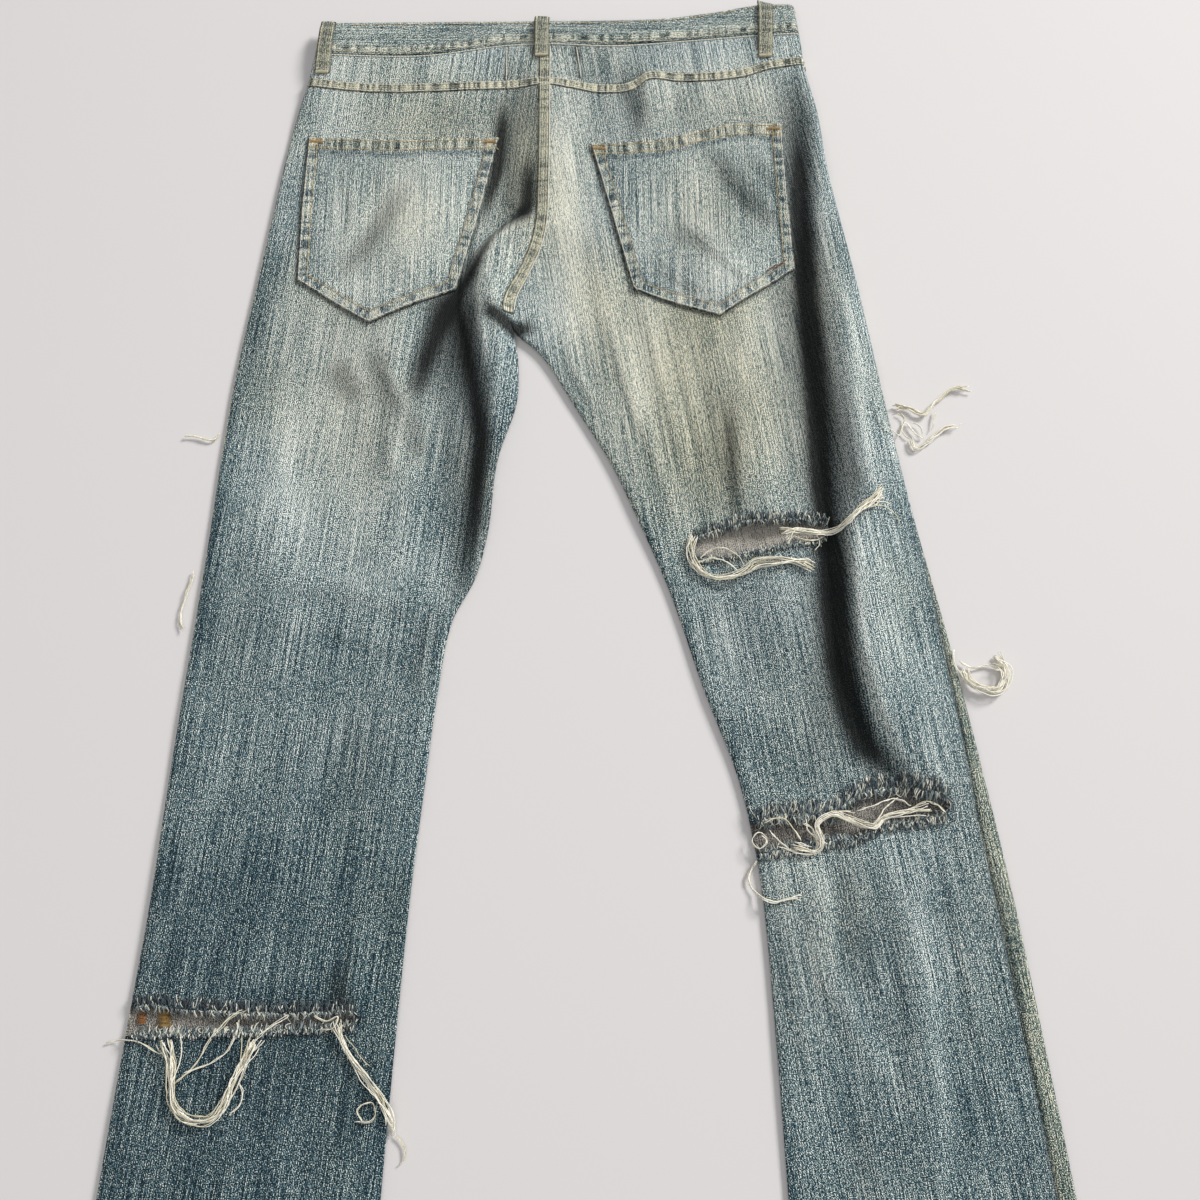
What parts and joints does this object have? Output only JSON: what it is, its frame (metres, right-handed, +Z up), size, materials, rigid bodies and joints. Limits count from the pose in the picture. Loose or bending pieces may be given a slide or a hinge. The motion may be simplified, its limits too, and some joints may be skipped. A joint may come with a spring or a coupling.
{
  "type": "ripped jeans",
  "caption": "Straight-leg denim jeans laid flat with the back up, legs splayed, torn at thigh, knee and shin with loose white yarns.",
  "frame": {"origin": "middle of the garment's footprint, on the ground it lies on", "axes": "+Z up, +Y towards the waist, +X towards the wearer's right leg; the back of the garment faces +Z"},
  "size_m": [0.6976, 1.1202, 0.0289],
  "materials": {
    "denim": "washed and faded indigo twill, matt",
    "denim_reverse": "grey reverse face of the twill, matt",
    "denim_felled": "worn and yellowed felled seams, matt",
    "frayed_edge": "short blue and white frayed yarns",
    "weft_yarn": "ecru cotton yarn, matt",
    "button_brass": "aged satin"
  },
  "bodies": {
    "root": {"back_left": "denim", "back_pocket_left": "denim", "back_pocket_right": "denim", "back_right": "denim", "belt_loop_back_centre": "denim_felled", "belt_loop_back_left": "denim_felled", "belt_loop_back_right": "denim_felled", "belt_loop_front_left": "denim_felled", "belt_loop_front_right": "denim_felled", "fly_placket": "denim", "fringe_knee_bottom": "frayed_edge", "fringe_knee_top": "frayed_edge", "fringe_shin_bottom": "frayed_edge", "fringe_shin_top": "frayed_edge", "fringe_thigh_bottom": "frayed_edge", "fringe_thigh_top": "frayed_edge", "front_left": "denim", "front_pocket_facing_left": "denim", "front_pocket_facing_right": "denim", "front_right": "denim", "hem_back_left": "denim", "hem_back_right": "denim", "hem_front_left": "denim", "hem_front_right": "denim", "seat_seam": "denim_felled", "waist_button": "button_brass", "waistband_back_left": "denim", "waistband_back_right": "denim", "waistband_front_left": "denim", "waistband_front_right": "denim", "yarn_edge_left_lower": "weft_yarn", "yarn_edge_left_upper": "weft_yarn", "yarn_edge_right_lower": "weft_yarn", "yarn_edge_right_tuft": "weft_yarn", "yarn_edge_right_upper": "weft_yarn", "yarn_knee_bundle": "weft_yarn", "yarn_knee_hanging": "weft_yarn", "yarn_shin_loop": "weft_yarn", "yarn_shin_right": "weft_yarn", "yarn_thigh_left": "weft_yarn", "yarn_thigh_right": "weft_yarn", "yoke_left": "denim", "yoke_right": "denim"}
  },
  "joints": []
}
